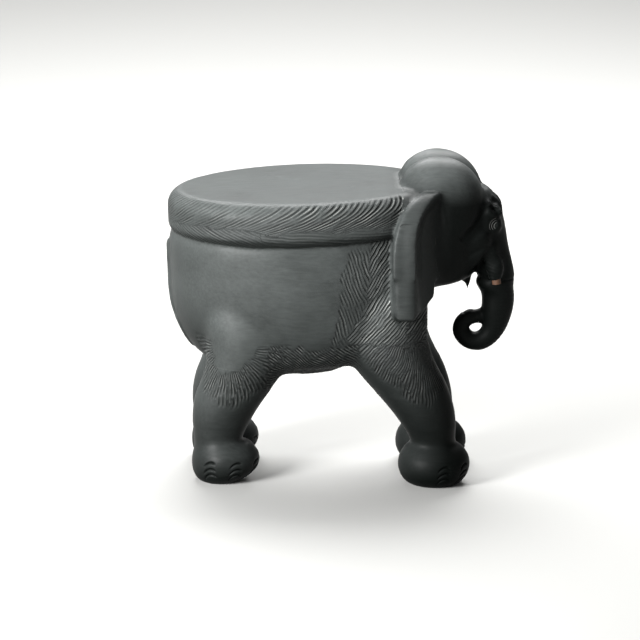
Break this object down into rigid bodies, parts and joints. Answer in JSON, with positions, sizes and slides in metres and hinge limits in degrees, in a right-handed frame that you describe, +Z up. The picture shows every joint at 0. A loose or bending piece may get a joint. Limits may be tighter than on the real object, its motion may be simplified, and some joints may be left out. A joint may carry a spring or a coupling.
{
  "type": "carved elephant stool",
  "caption": "Carved wooden stool in the form of a standing elephant: oval seat on a barrel body, splayed legs with round feet, ears, domed head and a rolled-in trunk.",
  "frame": {"origin": "on the floor, under the middle of the overall box", "axes": "+X towards the elephant's head, +Z up, the stool is symmetric about Y = 0"},
  "size_m": [0.4772, 0.276, 0.449],
  "materials": {
    "ebonised_wood": "black-stained hardwood, carved, waxed to a satin sheen",
    "bare_wood": "broken end grain, unfinished",
    "dowel_wood": "plain turned dowel, unfinished"
  },
  "bodies": {
    "root": {"body": "ebonised_wood", "seat": "ebonised_wood", "head": "ebonised_wood", "trunk": "ebonised_wood", "right_ear": "ebonised_wood", "left_ear": "ebonised_wood", "front_right_leg": "ebonised_wood", "front_left_leg": "ebonised_wood", "rear_right_leg": "ebonised_wood", "rear_left_leg": "ebonised_wood", "right_tusk": "bare_wood", "left_tusk": "bare_wood", "seat_dowels": "dowel_wood", "head_dowels": "dowel_wood", "leg_dowels": "dowel_wood", "ear_dowels": "dowel_wood", "trunk_dowel": "dowel_wood"}
  },
  "joints": []
}
